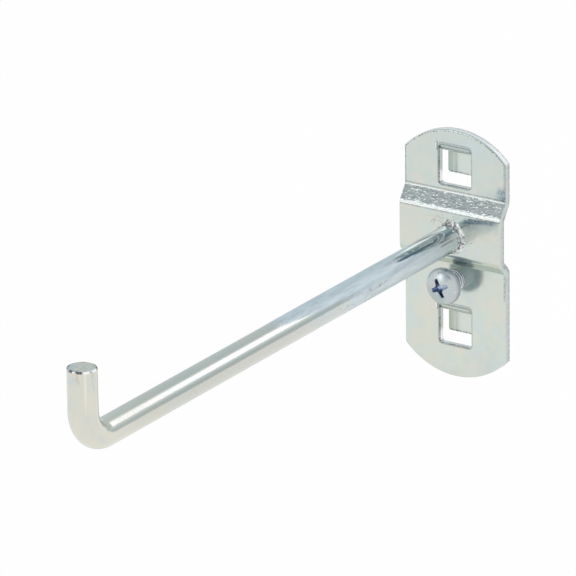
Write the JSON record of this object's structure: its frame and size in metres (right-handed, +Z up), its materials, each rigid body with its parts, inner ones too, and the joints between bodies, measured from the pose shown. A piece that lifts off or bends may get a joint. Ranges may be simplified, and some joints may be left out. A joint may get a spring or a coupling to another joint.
{
  "type": "tool holder",
  "caption": "Zinc-plated steel tool holder: a long round arm with an upturned end, welded to a pressed plate that hooks into a square-hole panel and is locked by a screw.",
  "frame": {"origin": "where the arm's axis meets the panel's front face, midway between the seats of the two hooks; the plate's back face lies in Y = 0", "axes": "+X across the plate, to the right as seen from the front; +Y into the panel, so the arm reaches along -Y; +Z up"},
  "size_m": [0.0264, 0.154, 0.0588],
  "materials": {
    "plated_sheet": "bright zinc plating with a clear passivate, satin gloss",
    "plated_bar": "bright zinc plating on drawn bar, glossy",
    "plated_weld": "zinc over a coarse weld",
    "plated_screw": "bluish zinc plating, satin"
  },
  "bodies": {
    "holder": {"mounting_plate": "plated_sheet", "hook_arm": "plated_bar", "weld_bead": "plated_weld"},
    "screw": {"locking_screw": "plated_screw"}
  },
  "joints": [
    {"name": "screw_travel", "type": "slide", "parent": "holder", "child": "screw", "axis": [0, 1, 0], "range_m": [-0.0007, 0.0034]}
  ]
}
